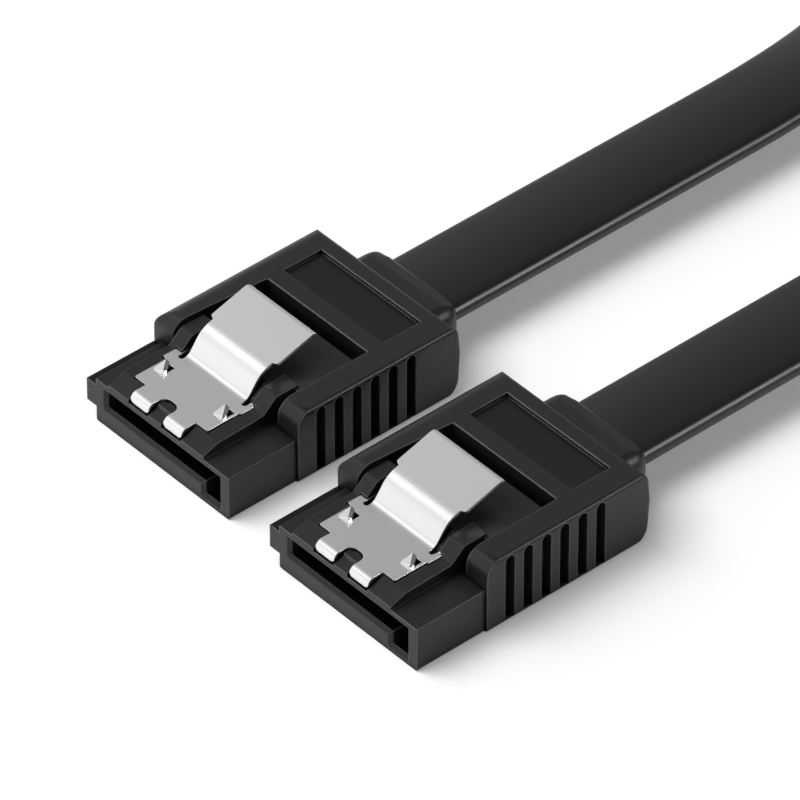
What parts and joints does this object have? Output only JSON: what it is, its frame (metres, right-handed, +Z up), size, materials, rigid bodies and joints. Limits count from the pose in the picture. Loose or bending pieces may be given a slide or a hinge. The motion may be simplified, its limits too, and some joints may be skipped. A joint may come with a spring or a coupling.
{
  "type": "sata data cable",
  "caption": "Flat black data cable with a straight latching plug at each end, its spare length folded into a tied hank.",
  "frame": {"origin": "centre of the two plugs' footprint, on the surface that the cable lies on", "axes": "+X from the plugs' mating faces toward the cord, +Y across the plugs, +Z up"},
  "size_m": [0.146, 0.0659, 0.0087],
  "materials": {
    "boot": "soft black moulding, faint grain",
    "housing": "hard black moulding",
    "latch": "satin stainless sheet",
    "contact": "gold plate",
    "inner_mould": "natural moulding",
    "foil": "bright foil wrap",
    "cord": "satin black jacket",
    "tie": "matt black strap"
  },
  "bodies": {
    "cable": {"boot_a": "boot", "boot_b": "boot", "housing_a": "housing", "housing_b": "housing", "inner_mould_a": "inner_mould", "inner_mould_b": "inner_mould", "contact_a_1": "contact", "contact_a_2": "contact", "contact_a_3": "contact", "contact_a_4": "contact", "contact_a_5": "contact", "contact_a_6": "contact", "contact_a_7": "contact", "contact_b_1": "contact", "contact_b_2": "contact", "contact_b_3": "contact", "contact_b_4": "contact", "contact_b_5": "contact", "contact_b_6": "contact", "contact_b_7": "contact", "wire_pair_a_1": "foil", "wire_pair_a_2": "foil", "wire_pair_b_1": "foil", "wire_pair_b_2": "foil", "flat_cord": "cord", "cord_tie": "tie"},
    "latch_a": {"latch_a": "latch"},
    "latch_b": {"latch_b": "latch"}
  },
  "joints": [
    {"name": "latch_a_press", "type": "hinge", "parent": "cable", "child": "latch_a", "pos_m": [-0.00944, 0.0093, 0.0039], "axis": [0, 1, 0], "range_deg": [0, 4], "stiffness_Nm_per_rad": 0.02},
    {"name": "latch_b_press", "type": "hinge", "parent": "cable", "child": "latch_b", "pos_m": [-0.00992, -0.0086, 0.0039], "axis": [0, 1, 0], "range_deg": [0, 4], "stiffness_Nm_per_rad": 0.02}
  ]
}
